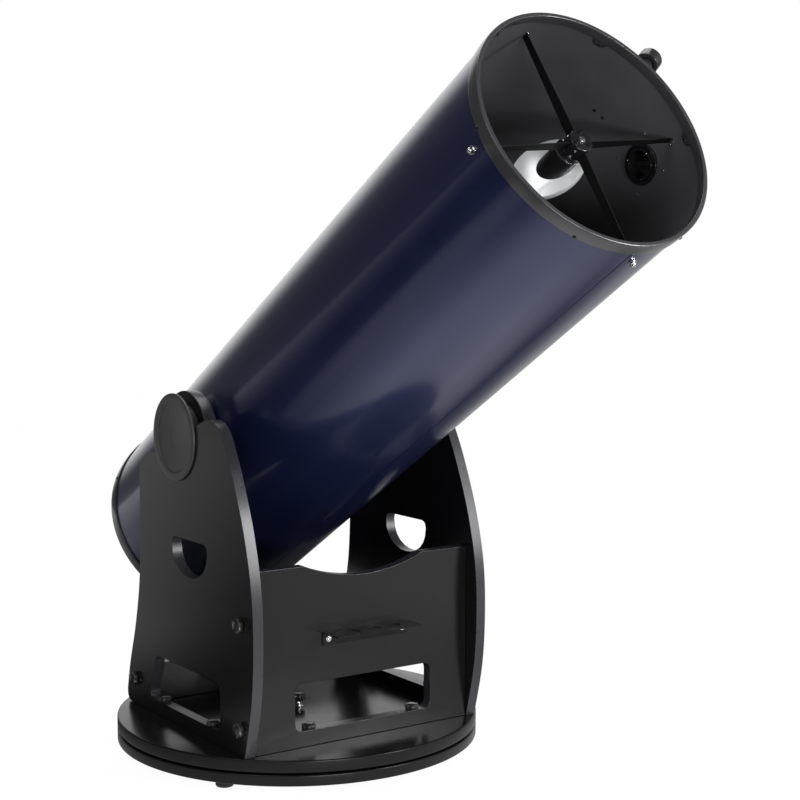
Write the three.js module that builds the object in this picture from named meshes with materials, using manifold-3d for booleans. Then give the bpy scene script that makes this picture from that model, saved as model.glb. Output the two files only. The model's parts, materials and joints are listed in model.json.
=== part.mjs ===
// Solid-tube Newtonian telescope on a rocker-box (Dobsonian) mount, in millimetres, +Z up.
// The origin is where the azimuth axis meets the underside of the ground board, and the tube points to -Y.
import * as THREE from 'three';
import { mergeVertices } from 'three/addons/utils/BufferGeometryUtils.js';
import Module from 'manifold-3d';

const wasm = await Module();
wasm.setup();

const GAP = 0.3;

// Driving dimensions of the mount.
const DISC_R = 398.5;
const GROUND_T = 23.5;
const BEARING_T = 4;
const BOARD_T = 23.5;
const BASE_Z = GROUND_T + BEARING_T;
const FLOOR_Z = BASE_Z + 26;
const BOX_HALF_W = 288.7;
const BOX_INNER_W = BOX_HALF_W - BOARD_T;
const FRONT_Y = -271;
const FRONT_TOP_Z = 430;
const REAR_Y = 223;
const REAR_TOP_Z = 142;

// Driving dimensions of the tube. Its own frame has +Z along the optical axis and its origin on the altitude axis.
const ALT_Y = 17.2;
const ALT_Z = 676.6;
const REST_ALTITUDE = THREE.MathUtils.degToRad(31.1);
const TUBE_R = 232.5;
const TUBE_WALL = 1.5;
const TUBE_FRONT = 1161;
const TUBE_REAR = -496;
const SPIDER_TURN = -5;
const FOCUSER_TURN = 84;
const FOCUSER_S = 1025;
const FINDER_TURN = 52.7;
const ROUND = 80;

// Altitude bearing, turned about X.
const DRUM_R = 70;
const FLANGE_R = 93;
const CRADLE_R = 79;
const PLATE_R = 97;
const PLATE_INNER = 237;

const FINISH = {
  laminate: { color: 0x2b2d31, roughness: 0.5, metalness: 0 },
  tubePaint: { color: 0x2c3350, roughness: 0.25, metalness: 0.6 },
  blackMetal: { color: 0x1a1b1d, roughness: 0.45, metalness: 0.5 },
  blackPlastic: { color: 0x18191b, roughness: 0.5, metalness: 0 },
  rubber: { color: 0x141414, roughness: 0.85, metalness: 0 },
  steel: { color: 0xc8cacc, roughness: 0.3, metalness: 1 },
  ptfe: { color: 0xe8e8e4, roughness: 0.6, metalness: 0 },
  mirror: { color: 0xf4f6f8, roughness: 0.05, metalness: 1 },
};

const telescope = new THREE.Group();
const tubeFrame = new THREE.Group();
tubeFrame.position.set(0, ALT_Y, ALT_Z);
tubeFrame.rotation.x = Math.PI / 2 - REST_ALTITUDE;
telescope.add(tubeFrame);

// Shapes and booleans.

function toManifold(geometry) {
  const bare = new THREE.BufferGeometry();
  bare.setAttribute('position', geometry.attributes.position.clone());
  if (geometry.index) bare.setIndex(geometry.index.clone());
  const merged = mergeVertices(bare, 1e-4);
  const vertProperties = new Float32Array(merged.attributes.position.array);
  const triVerts = new Uint32Array(merged.index.array);
  return new wasm.Manifold(new wasm.Mesh({ numProp: 3, vertProperties, triVerts }));
}

function fromManifold(solid) {
  const mesh = solid.getMesh();
  const geometry = new THREE.BufferGeometry();
  geometry.setAttribute('position', new THREE.BufferAttribute(new Float32Array(mesh.vertProperties), 3));
  geometry.setIndex(new THREE.BufferAttribute(new Uint32Array(mesh.triVerts), 1));
  geometry.computeVertexNormals();
  return geometry;
}

function join(first, ...others) {
  return fromManifold(others.reduce((sum, next) => sum.add(toManifold(next)), toManifold(first)));
}

function cut(first, ...others) {
  return fromManifold(others.reduce((rest, next) => rest.subtract(toManifold(next)), toManifold(first)));
}

function meet(first, second) {
  return fromManifold(toManifold(first).intersect(toManifold(second)));
}

function block(x, y, z) {
  return new THREE.BoxGeometry(x[1] - x[0], y[1] - y[0], z[1] - z[0])
    .translate((x[0] + x[1]) / 2, (y[0] + y[1]) / 2, (z[0] + z[1]) / 2);
}

// A solid of revolution about Z. The profile is a list of [radius, height] pairs, closed by the function.
function turned(profile, segments = 48) {
  const closed = profile[0][0] === 0 ? profile : [...profile, profile[0]];
  return new THREE.LatheGeometry(closed.map(([r, z]) => new THREE.Vector2(r, z)), segments).rotateX(Math.PI / 2);
}

function rod(radius, z0, z1, segments = 32) {
  return turned([[0, z0], [radius, z0], [radius, z1], [0, z1]], segments);
}

function ring(inner, outer, z0, z1, segments = ROUND) {
  return turned([[inner, z0], [outer, z0], [outer, z1], [inner, z1]], segments);
}

function extruded(shape, depth, curveSegments = 10) {
  return new THREE.ExtrudeGeometry(shape, { depth, bevelEnabled: false, curveSegments });
}

// Stands an outline drawn in (Y, Z) upright and extrudes it from x0 to x1.
function uprightAlongX(shape, x0, x1, curveSegments) {
  return extruded(shape, x1 - x0, curveSegments).rotateX(Math.PI / 2).rotateZ(Math.PI / 2).translate(x0, 0, 0);
}

// Stands an outline drawn in (X, Z) upright and extrudes it from y0 to y1.
function uprightAlongY(shape, y0, y1, curveSegments) {
  return extruded(shape, y1 - y0, curveSegments).rotateX(Math.PI / 2).translate(0, y1, 0);
}

function roundedWindow(u0, u1, v0, v1, r, slant = 0) {
  const path = new THREE.Path();
  path.moveTo(u0 + r, v0);
  path.lineTo(u1 - r, v0);
  path.quadraticCurveTo(u1, v0, u1 - slant * 0.2, v0 + r);
  path.lineTo(u1 - slant, v1 - r);
  path.quadraticCurveTo(u1 - slant, v1, u1 - slant - r, v1);
  path.lineTo(u0 + r, v1);
  path.quadraticCurveTo(u0, v1, u0, v1 - r);
  path.lineTo(u0, v0 + r);
  path.quadraticCurveTo(u0, v0, u0 + r, v0);
  return path;
}

function add(parent, name, geometry, finish) {
  const mesh = new THREE.Mesh(geometry, new THREE.MeshStandardMaterial(FINISH[finish]));
  mesh.name = name;
  parent.add(mesh);
  return mesh;
}

// A group on the tube at a turn about the optical axis: +Y is outward there, and +Z is along the tube.
function bay(degrees) {
  const group = new THREE.Group();
  group.rotation.z = -THREE.MathUtils.degToRad(degrees);
  tubeFrame.add(group);
  return group;
}

// A hand knob with a lobed grip on a round boss, standing on z = 0.
function handKnob(radius, bossHeight, height, lobes = 6) {
  const outline = new THREE.Shape();
  const steps = lobes * 4;
  for (let i = 0; i < steps; i++) {
    const angle = (2 * Math.PI * i) / steps;
    const r = radius * (0.93 + 0.07 * Math.cos(lobes * angle));
    if (i === 0) outline.moveTo(r, 0);
    else outline.lineTo(r * Math.cos(angle), r * Math.sin(angle));
  }
  const grip = extruded(outline, height - bossHeight).translate(0, 0, bossHeight);
  return bossHeight > 0 ? join(grip, rod(radius * 0.55, 0, bossHeight + 1, 16)) : grip;
}

// Ground board, feet and azimuth bearing.

const PIVOT_R = 6;
const PIVOT_HEAD_R = 17;
const PIVOT_HEAD_T = 7;
const PIVOT_TOP = 68;

function disc(z0, z1, edge) {
  const profile = [[0, z0], [DISC_R - edge, z0], [DISC_R, z0 + edge], [DISC_R, z1 - edge], [DISC_R - edge, z1], [0, z1]];
  return turned(profile, ROUND);
}

function makeGround() {
  const bolt = rod(PIVOT_R + 0.5, -1, GROUND_T + 1);
  const head = rod(PIVOT_HEAD_R + 0.5, -1, PIVOT_HEAD_T + GAP);
  add(telescope, 'ground_board', cut(disc(0, GROUND_T, 2.5), bolt, head), 'laminate');
  for (let i = 0; i < 3; i++) {
    const angle = THREE.MathUtils.degToRad(95.5 + 120 * i);
    const foot = turned([[0, -12.5], [15, -12.5], [19, -9], [19, -GAP], [0, -GAP]], 24);
    add(telescope, `foot_${i + 1}`, foot, 'rubber').position.set(374 * Math.cos(angle), 374 * Math.sin(angle), 0);
  }
}

function makeAzimuthBearing() {
  const z = GROUND_T + GAP;
  add(telescope, 'azimuth_lower_race', ring(100, 165, z, z + 0.8, 40), 'steel');
  add(telescope, 'azimuth_roller_cage', ring(106, 159, z + 1.1, z + 2.3, 40), 'ptfe');
  add(telescope, 'azimuth_upper_race', ring(100, 165, z + 2.6, z + 3.4, 40), 'steel');
  const bolt = turned([[0, 0], [PIVOT_HEAD_R, 0], [PIVOT_HEAD_R, PIVOT_HEAD_T], [PIVOT_R, PIVOT_HEAD_T],
    [PIVOT_R, PIVOT_TOP - GAP], [0, PIVOT_TOP - GAP]], 24);
  add(telescope, 'pivot_bolt', bolt, 'steel');
  add(telescope, 'pivot_knob', handKnob(17.5, 0, 16), 'blackPlastic').position.z = PIVOT_TOP;
}

// Rocker box.

// Points where each side board is screwed to the front and rear boards, as [y, z].
const SIDE_KNOBS = [[-259, 324], [-259, 111], [REAR_Y, 112]];

// Heights of the window sills.
const SIDE_SILL_Z = 84;
const FRONT_SILL_Z = 87;

// Knobs on the window sills that hold the boards down on the base, as [x, y, sill].
const BASE_KNOBS = [
  [-277, 106, SIDE_SILL_Z],
  [-277, -120, SIDE_SILL_Z],
  [277, 106, SIDE_SILL_Z],
  [277, -120, SIDE_SILL_Z],
  [-130, -259, FRONT_SILL_Z],
  [130, -259, FRONT_SILL_Z],
];

function sideOutline() {
  const shape = new THREE.Shape();
  shape.moveTo(245, FLOOR_Z + GAP);
  shape.lineTo(-273, FLOOR_Z + GAP);
  shape.splineThru([
    new THREE.Vector2(-301, 168),
    new THREE.Vector2(-310, 282),
    new THREE.Vector2(-304, 396),
    new THREE.Vector2(-275, 512),
    new THREE.Vector2(-230, 622),
    new THREE.Vector2(-196, 686),
  ]);
  shape.bezierCurveTo(-180, 714, -160, 726, -132, 725);
  const lip = Math.PI * 0.945;
  shape.bezierCurveTo(-108, 723, -80, 712, ALT_Y + CRADLE_R * Math.cos(lip), ALT_Z + CRADLE_R * Math.sin(lip));
  shape.absarc(ALT_Y, ALT_Z, CRADLE_R, lip, -Math.PI * 0.13, false);
  shape.bezierCurveTo(105, 640, 118, 634, 140, 630);
  shape.bezierCurveTo(176, 624, 194, 606, 194, 578);
  shape.splineThru([
    new THREE.Vector2(192, 475),
    new THREE.Vector2(199, 345),
    new THREE.Vector2(221, 240),
    new THREE.Vector2(252, 145),
    new THREE.Vector2(267, 82),
  ]);
  shape.quadraticCurveTo(270, FLOOR_Z + GAP, 245, FLOOR_Z + GAP);
  return shape;
}

function handHole() {
  const top = 464;
  const path = new THREE.Path();
  path.moveTo(20, top);
  path.lineTo(-102, top);
  path.quadraticCurveTo(-120, top, -120, top - 18);
  path.bezierCurveTo(-120, 408, -86, 384, -42, 384);
  path.bezierCurveTo(2, 384, 38, 408, 38, top - 18);
  path.quadraticCurveTo(38, top, 20, top);
  return path;
}

function makeSideBoards() {
  for (const [side, sign] of [['left', -1], ['right', 1]]) {
    const shape = sideOutline();
    shape.holes.push(handHole(), roundedWindow(-171, 156, SIDE_SILL_Z, 186, 22, 30));
    const x = [sign * BOX_INNER_W, sign * BOX_HALF_W].sort((a, b) => a - b);
    add(telescope, `side_board_${side}`, uprightAlongX(shape, x[0], x[1], 6), 'laminate');
    SIDE_KNOBS.forEach(([y, z], i) => {
      const knob = add(telescope, `side_knob_${side}_${i + 1}`, handKnob(16, 0, 13), 'blackPlastic');
      knob.position.set(sign * (BOX_HALF_W + GAP), y, z);
      knob.rotation.y = (sign * Math.PI) / 2;
    });
  }
}

function makeFrontBoard() {
  const half = BOX_INNER_W - GAP;
  const dipHalf = 147;
  const dipZ = 399;
  const shape = new THREE.Shape();
  shape.moveTo(-half, FLOOR_Z + GAP);
  shape.lineTo(half, FLOOR_Z + GAP);
  shape.lineTo(half, FRONT_TOP_Z);
  shape.lineTo(dipHalf, FRONT_TOP_Z);
  const sag = FRONT_TOP_Z - dipZ;
  const r = (dipHalf * dipHalf + sag * sag) / (2 * sag);
  const spread = Math.asin(dipHalf / r);
  shape.absarc(0, dipZ + r, r, -Math.PI / 2 + spread, -Math.PI / 2 - spread, true);
  shape.lineTo(-half, FRONT_TOP_Z);
  shape.holes.push(roundedWindow(-169, 169, FRONT_SILL_Z, 186, 18));
  add(telescope, 'front_board', uprightAlongY(shape, FRONT_Y, FRONT_Y + BOARD_T, 16), 'laminate');
}

function makeRockerBox() {
  const base = cut(disc(BASE_Z, FLOOR_Z, 2.5), rod(PIVOT_R + 0.5, BASE_Z - 1, FLOOR_Z + 1));
  add(telescope, 'base_board', base, 'laminate');
  makeSideBoards();
  makeFrontBoard();
  const half = BOX_INNER_W - GAP;
  const rear = block([-half, half], [REAR_Y - BOARD_T / 2, REAR_Y + BOARD_T / 2], [FLOOR_Z + GAP, REAR_TOP_Z]);
  add(telescope, 'rear_cross_board', rear, 'laminate');
  BASE_KNOBS.forEach(([x, y, sill], i) => {
    const knob = add(telescope, `base_knob_${i + 1}`, handKnob(16, 0, 11), 'blackPlastic');
    knob.position.set(x, y, sill + GAP);
  });
}

// Eyepiece rack: a folded plate with one large and two small holes.
function makeRack() {
  const back = FRONT_Y - GAP;
  const shelfZ = 286;
  const shelf = block([-104, 104], [back - 62, back], [shelfZ, shelfZ + 2.5]);
  const flange = block([-104, 104], [back - 2.5, back], [shelfZ - 26, shelfZ + 1]);
  const holes = [[-62, 26.5], [3, 16.5], [52, 16.5]].map(([x, r]) =>
    rod(r, shelfZ - 1, shelfZ + 4).translate(x, back - 32, 0));
  add(telescope, 'eyepiece_rack', cut(join(shelf, flange), ...holes), 'blackMetal');
}

// Two bearing pads in each cradle, either side of its lowest point.
function makePads() {
  const halfSpan = THREE.MathUtils.degToRad(13);
  for (const [side, sign] of [['left', -1], ['right', 1]]) {
    [-125, -55].forEach((degrees, i) => {
      const mid = THREE.MathUtils.degToRad(degrees);
      const shape = new THREE.Shape();
      shape.absarc(0, 0, CRADLE_R - GAP * 2, mid - halfSpan, mid + halfSpan, false);
      shape.absarc(0, 0, DRUM_R + GAP, mid + halfSpan, mid - halfSpan, true);
      const x = [sign * (BOX_INNER_W + 2), sign * (BOX_HALF_W - 2)].sort((a, b) => a - b);
      const pad = add(telescope, `cradle_pad_${side}_${i + 1}`, uprightAlongX(shape, x[0], x[1], 8), 'ptfe');
      pad.position.set(0, ALT_Y, ALT_Z);
    });
  }
}

// Altitude bearings: a flanged drum in each cradle, a thick plate inside the board, and a saddle on the tube.
function makeTrunnions() {
  const tubeCore = rod(TUBE_R + GAP + 0.1, -200, 200, ROUND);
  for (const [side, sign] of [['left', -1], ['right', 1]]) {
    const flangeX = BOX_HALF_W + 0.4;
    const drum = turned([[0, BOX_INNER_W], [DRUM_R, BOX_INNER_W], [DRUM_R, flangeX], [FLANGE_R, flangeX],
      [FLANGE_R, flangeX + 5], [FLANGE_R - 16, flangeX + 5], [FLANGE_R - 19, flangeX + 2], [0, flangeX + 2]], 64);
    const plate = rod(PLATE_R, PLATE_INNER, BOX_INNER_W - GAP, 64);
    const saddle = rod(62, 212, PLATE_INNER - GAP, 32);
    const turn = (sign * Math.PI) / 2;
    add(tubeFrame, `trunnion_${side}`, drum.rotateY(turn), 'blackPlastic');
    add(tubeFrame, `trunnion_plate_${side}`, plate.rotateY(turn), 'laminate');
    add(tubeFrame, `trunnion_saddle_${side}`, cut(saddle.rotateY(turn), tubeCore), 'blackMetal');
  }
}

// Optical tube.

const END_BAND = 24;
const LIP_T = 2.2;
const BAND_OUT = TUBE_R + 3.4;
const CHANNEL_DEPTH = 15.5;

function makeTube() {
  const wall = ring(TUBE_R - TUBE_WALL, TUBE_R, TUBE_REAR, TUBE_FRONT);
  const turn = -THREE.MathUtils.degToRad(FOCUSER_TURN);
  const hole = rod(32.5, 200, 260, 40).rotateX(-Math.PI / 2).translate(0, 0, FOCUSER_S).rotateZ(turn);
  add(tubeFrame, 'optical_tube', cut(wall, hole), 'tubePaint');
}

function makeFrontRing() {
  const edge = TUBE_FRONT + GAP;
  const inner = TUBE_R - TUBE_WALL - GAP - 3.2;
  const channel = turned([[inner, edge - CHANNEL_DEPTH], [inner + 3, edge - CHANNEL_DEPTH], [inner + 3, edge], [TUBE_R + GAP, edge],
    [TUBE_R + GAP, edge - END_BAND], [BAND_OUT, edge - END_BAND], [BAND_OUT, edge + LIP_T],
    [inner, edge + LIP_T]], ROUND);
  const tabs = [];
  for (let i = 0; i < 6; i++) {
    const outline = new THREE.Shape();
    outline.moveTo(-17, edge - CHANNEL_DEPTH + 1);
    outline.lineTo(-9, edge - 26.5);
    outline.lineTo(9, edge - 26.5);
    outline.lineTo(17, edge - CHANNEL_DEPTH + 1);
    tabs.push(uprightAlongY(outline, inner, inner + 2.2).rotateZ(-THREE.MathUtils.degToRad(30 + 60 * i)));
  }
  add(tubeFrame, 'front_ring', join(channel, ...tabs), 'blackMetal');
}

function makeRearRing() {
  const edge = TUBE_REAR - GAP;
  const ringSolid = turned([[TUBE_R - 12, edge - LIP_T], [BAND_OUT, edge - LIP_T], [BAND_OUT, edge + END_BAND],
    [TUBE_R + GAP, edge + END_BAND], [TUBE_R + GAP, edge], [TUBE_R - 12, edge]], ROUND);
  add(tubeFrame, 'rear_ring', ringSolid, 'blackMetal');
}

// Primary mirror, its three-spoked cell, and the collimation knobs behind the cell.
const MIRROR_R = 203;
const MIRROR_T = 38;
const MIRROR_BACK = -446;
const CELL_Z = [-480, -470];
const COLLIMATION_R = 172;

function makePrimary() {
  const top = MIRROR_BACK + MIRROR_T;
  const sag = 5.6;
  const profile = [[0, MIRROR_BACK], [MIRROR_R - 2, MIRROR_BACK], [MIRROR_R, MIRROR_BACK + 2], [MIRROR_R, top - 1],
    [MIRROR_R - 1, top]];
  for (const part of [0.67, 0.33, 0]) {
    profile.push([(MIRROR_R - 1) * part, top - sag * (1 - part * part)]);
  }
  add(tubeFrame, 'primary_mirror', turned(profile, 48), 'mirror');

  const outer = ring(212, TUBE_R - TUBE_WALL - GAP, CELL_Z[0], CELL_Z[1], 48);
  const pieces = [rod(55, CELL_Z[0], CELL_Z[1], 32)];
  for (let i = 0; i < 3; i++) {
    const turn = (2 * Math.PI * i) / 3;
    pieces.push(block([-19, 19], [0, 215], CELL_Z).rotateZ(turn));
    pieces.push(rod(14, CELL_Z[0] + 1, MIRROR_BACK - GAP, 16).translate(0, 118, 0).rotateZ(turn));
  }
  add(tubeFrame, 'mirror_cell', join(outer, ...pieces), 'blackMetal');
  for (let i = 0; i < 3; i++) {
    const knob = handKnob(17, 8, 22).rotateX(Math.PI).translate(0, COLLIMATION_R, CELL_Z[0] - GAP);
    add(tubeFrame, `collimation_knob_${i + 1}`, knob.rotateZ((2 * Math.PI * i) / 3), 'blackPlastic');
  }
}

// Spider, secondary holder and secondary mirror.
const HUB_R = 22.5;
const HUB_Z = [1092, 1122];
const HOLDER_R = 26;
const HOLDER_SHIFT = -4;
const SECONDARY_R = 48.4;
const SECONDARY_T = 16;
const SECONDARY_SHIFT = -4.6;
const SECONDARY_S = 1026.2;

function makeSpider() {
  const tip = TUBE_R - TUBE_WALL - GAP - 0.4;
  for (let i = 0; i < 4; i++) {
    const vane = new THREE.Shape();
    vane.moveTo(HUB_R + GAP, HUB_Z[0] + 3);
    vane.lineTo(tip, HUB_Z[0] + 9);
    vane.lineTo(tip, HUB_Z[0] + 22);
    vane.lineTo(HUB_R + GAP, HUB_Z[0] + 25);
    const solid = extruded(vane, 1.6).translate(0, 0, -0.8).rotateX(Math.PI / 2).rotateZ(Math.PI / 2);
    add(bay(SPIDER_TURN + 90 * i), `spider_vane_${i + 1}`, solid, 'blackMetal');
  }
  const hub = turned([[0, HUB_Z[0]], [HUB_R, HUB_Z[0]], [HUB_R, HUB_Z[1] - 1.5], [HUB_R - 1.5, HUB_Z[1]],
    [0, HUB_Z[1]]], 32);
  add(tubeFrame, 'spider_hub', hub, 'blackMetal');
}

function makeSecondary() {
  const group = bay(FOCUSER_TURN);
  const place = (geometry) => geometry.rotateX(Math.PI / 4).translate(0, SECONDARY_SHIFT, SECONDARY_S);
  const mirror = rod(SECONDARY_R, 0, SECONDARY_T, 48).scale(1, Math.SQRT2, 1);
  add(group, 'secondary_mirror', place(mirror), 'mirror');
  const reach = 400;
  const below = place(block([-reach, reach], [-reach, reach], [-reach, SECONDARY_T + GAP]));
  const stalk = rod(22, HUB_Z[0] - 12, HUB_Z[0] - GAP);
  const holder = turned([[0, 960], [HOLDER_R, 960], [HOLDER_R, HUB_Z[0] - 6], [HOLDER_R - 2, HUB_Z[0] - 4],
    [0, HUB_Z[0] - 4]], 32).translate(0, HOLDER_SHIFT, 0);
  add(group, 'secondary_holder', cut(join(holder, stalk), below), 'blackMetal');
}

// Focuser: a saddle plate with a bored body, a drawtube that slides outward, and knobs on one shaft.
const DRAW_R = 30;
const DRAW_BORE_R = 25.7;
const FOCUS_SHAFT_Y = 268;
const FOCUS_SHAFT_X = 34.4;
const FOCUS_SHAFT_R = 4;

function makeFocuser() {
  const group = bay(FOCUSER_TURN);
  const outward = (geometry) => geometry.rotateX(-Math.PI / 2).translate(0, 0, FOCUSER_S);
  const plate = block([-50, 50], [222, 246], [FOCUSER_S - 50, FOCUSER_S + 50]);
  const body = outward(rod(40, 236, 304, 40));
  const housing = block([24, 48], [FOCUS_SHAFT_Y - 14, FOCUS_SHAFT_Y + 14], [FOCUSER_S - 24, FOCUSER_S + 24]);
  const bore = outward(rod(DRAW_R + GAP, 200, 320, 40));
  const shaftHole = rod(FOCUS_SHAFT_R + GAP, -60, 60, 16).translate(FOCUS_SHAFT_X, FOCUS_SHAFT_Y, FOCUSER_S);
  const tubeCore = rod(TUBE_R + GAP + 0.1, FOCUSER_S - 80, FOCUSER_S + 80, ROUND);
  add(group, 'focuser_body', cut(join(plate, body, housing), tubeCore, bore, shaftHole), 'blackMetal');

  const draw = turned([[DRAW_BORE_R, 229], [DRAW_R, 229], [DRAW_R, 312], [34, 312], [34, 334], [DRAW_BORE_R, 334]], 40);
  add(group, 'focuser_drawtube', outward(draw), 'blackMetal');

  const shaft = rod(FOCUS_SHAFT_R, -45, 45, 16);
  const knob = turned([[0, 42], [17, 42], [19, 44], [19, 60], [17, 62], [0, 62]], 28);
  const knobs = join(shaft, knob, knob.clone().rotateX(Math.PI));
  add(group, 'focus_knobs', knobs.translate(FOCUS_SHAFT_X, FOCUS_SHAFT_Y, FOCUSER_S), 'blackPlastic');

  const screw = join(rod(7, 4, 12, 24), rod(2.5, 0, 5, 16)).rotateY(-Math.PI / 2);
  add(group, 'eyepiece_screw', screw.translate(-34 - GAP, 323, FOCUSER_S), 'steel');
}

// Finder shoe with its clamp screw, and the round knob by which the tube is steered.
function makeFinderShoeAndGuideKnob() {
  const group = bay(FINDER_TURN);
  const shoeS = 1014;
  const lift = TUBE_R + GAP;
  const channel = new THREE.Shape();
  channel.moveTo(-24, lift + 0.1);
  channel.lineTo(24, lift + 0.1);
  channel.lineTo(24, lift + 20);
  channel.lineTo(12, lift + 20);
  channel.lineTo(16, lift + 8);
  channel.lineTo(-16, lift + 8);
  channel.lineTo(-12, lift + 20);
  channel.lineTo(-24, lift + 20);
  add(group, 'finder_shoe', extruded(channel, 56).translate(0, 0, shoeS - 28), 'blackMetal');
  const screw = join(rod(7.5, 4, 15, 24), rod(2.5, 0, 5, 16)).rotateY(Math.PI / 2);
  add(group, 'finder_screw', screw.translate(24 + GAP, lift + 13, shoeS), 'steel');

  const headR = 22;
  const knob = turned([[0, lift + 0.1], [11, lift + 0.1], [8, lift + 8], [8, 278], [12, 283], [12, 288], [15, 288],
    [15, 284], [headR, 284], [headR, 307], [headR - 4, 313], [0, 315]], 32);
  add(group, 'guide_knob', knob.rotateX(-Math.PI / 2).translate(0, 0, 1126), 'blackPlastic');
}

makeGround();
makeAzimuthBearing();
makeRockerBox();
makeRack();
makePads();
makeTrunnions();
makeTube();
makeFrontRing();
makeRearRing();
makePrimary();
makeSpider();
makeSecondary();
makeFocuser();
makeFinderShoeAndGuideKnob();

export default telescope;
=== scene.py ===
"""Looks for the solid-tube telescope on its rocker-box mount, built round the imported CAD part. Lengths are in
millimetres until a mesh is placed, and +Z is up."""

import json
import math

import bmesh
import bpy
from mathutils import Matrix, Vector

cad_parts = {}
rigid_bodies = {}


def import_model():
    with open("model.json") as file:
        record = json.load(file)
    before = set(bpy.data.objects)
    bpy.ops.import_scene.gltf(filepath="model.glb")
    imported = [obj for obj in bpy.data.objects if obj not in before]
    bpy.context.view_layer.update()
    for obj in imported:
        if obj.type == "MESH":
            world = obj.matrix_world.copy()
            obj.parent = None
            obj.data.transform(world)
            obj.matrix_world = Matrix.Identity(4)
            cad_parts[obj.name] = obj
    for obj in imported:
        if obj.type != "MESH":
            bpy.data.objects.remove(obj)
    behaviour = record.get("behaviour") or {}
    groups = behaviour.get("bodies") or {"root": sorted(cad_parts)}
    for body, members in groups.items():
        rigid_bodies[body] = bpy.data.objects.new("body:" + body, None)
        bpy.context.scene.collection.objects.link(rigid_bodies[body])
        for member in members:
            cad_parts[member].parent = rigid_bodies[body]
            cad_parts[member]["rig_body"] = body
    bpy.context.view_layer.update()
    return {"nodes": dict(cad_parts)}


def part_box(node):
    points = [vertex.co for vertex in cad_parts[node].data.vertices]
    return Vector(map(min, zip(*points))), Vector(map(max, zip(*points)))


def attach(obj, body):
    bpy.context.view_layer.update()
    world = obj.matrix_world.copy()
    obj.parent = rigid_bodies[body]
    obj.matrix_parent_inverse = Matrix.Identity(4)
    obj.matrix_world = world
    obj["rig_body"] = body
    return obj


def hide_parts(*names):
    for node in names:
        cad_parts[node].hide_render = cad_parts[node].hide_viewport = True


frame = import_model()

MM = Matrix.Scale(0.001, 4)
FLIP = Matrix.Rotation(math.pi, 4, "X")
Z_TO_Y = Matrix.Rotation(-math.pi / 2, 4, "X")
Z_TO_MINUS_Y = Matrix.Rotation(math.pi / 2, 4, "X")
SIDES = (("left", -1), ("right", 1))

# Floor, round boards and feet.
FLOOR_Z = -12.5
DISC_R = 398.5
GROUND_TOP_Z = 23.5
BASE_LOW_Z = 27.5
BASE_TOP_Z = 53.5
PIVOT_BORE_R = 6.5
FOOT_CIRCLE_R = 374
FIRST_FOOT_TURN = 95.5

# Rocker box: the side boards' outer and inner faces, and the knobs on each side board as (y, z).
BOX_HALF_W = 288.7
BOARD_INNER_X = 265.2
SIDE_KNOBS = [(-259, 324), (-259, 111), (223, 112)]
HAND_KNOB_R = 16

# Optical tube. Turns are in degrees about the optical axis, and stations are along it from the altitude axis.
TUBE = Matrix.Translation((0, 17.2, 676.6)) @ Matrix.Rotation(math.radians(90 - 31.1), 4, "X")
TUBE_R = 232.5
TUBE_WALL = 1.5
TUBE_BORE_R = TUBE_R - TUBE_WALL
TUBE_FRONT = 1161.0
TUBE_REAR = -496.0
RING_OUT_R = TUBE_R + 3.4
RING_LENGTH = 24
RING_SCREWS = 6
SEAM_TURN = 179.3
FOCUSER_TURN = 84.0
FOCUSER_S = 1025.0
FOCUSER_HOLE_R = 32.5
FINDER_TURN = 52.7
FINDER_S = 1014.0
GUIDE_KNOB_S = 1126
SPIDER_TURN = -5.0
SPIDER_S = 1107.0
HUB_R = 22.5
HUB_FACE_S = 1122

# Segments round the large turned bodies.
SMOOTH = 288


# Places.


def bay(turn, along=0.0, out=0.0):
    """A place on the tube, turned about the optical axis: +Y is outward there, and +Z is along the tube."""
    return TUBE @ Matrix.Rotation(-math.radians(turn), 4, "Z") @ Matrix.Translation((0, out, along))


def outward(turn, along, out):
    """A place on the tube whose +Z is outward."""
    return bay(turn, along, out) @ Z_TO_Y


def sideways(sign, y, z, x):
    """A place on the side of the mount whose +Z is outward along X."""
    return Matrix.Translation((sign * x, y, z)) @ Matrix.Rotation(sign * math.pi / 2, 4, "Y")


def at(x, y, z):
    return Matrix.Translation((x, y, z))


# Materials. Each is procedural, in object coordinates.


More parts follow.
